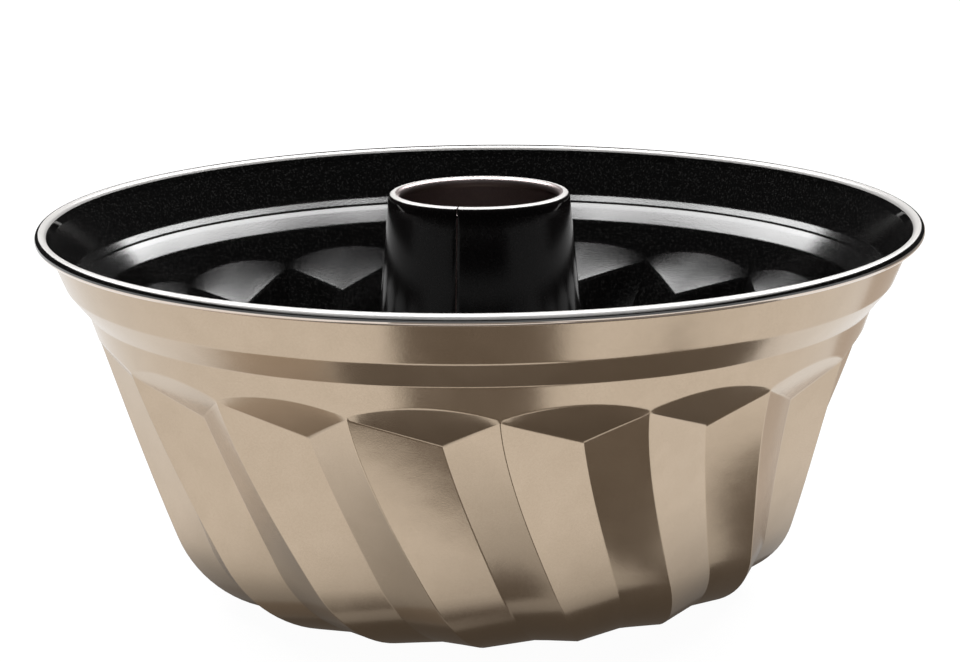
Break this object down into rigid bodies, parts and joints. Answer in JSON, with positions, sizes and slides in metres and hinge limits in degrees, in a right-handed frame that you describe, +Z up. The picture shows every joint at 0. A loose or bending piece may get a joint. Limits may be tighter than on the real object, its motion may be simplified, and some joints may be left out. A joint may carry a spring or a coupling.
{
  "type": "fluted ring-cake pan",
  "caption": "Round ring-cake baking pan of coated sheet steel: bowl with curled rim, stepped ledge and twisted V flutes, and a tapered centre chimney clinched into the base.",
  "frame": {"origin": "centre of the flat ring that the pan stands on", "axes": "+Z up along the chimney's axis, the pictured front at -Y"},
  "size_m": [0.2496, 0.2496, 0.1131],
  "materials": {
    "champagne_coat": "glossy metallic champagne coat outside, black non-stick coat inside",
    "black_non_stick": "satin black non-stick coat with a fine grain"
  },
  "bodies": {
    "root": {"fluted_bowl": "champagne_coat", "chimney": "black_non_stick"}
  },
  "joints": []
}
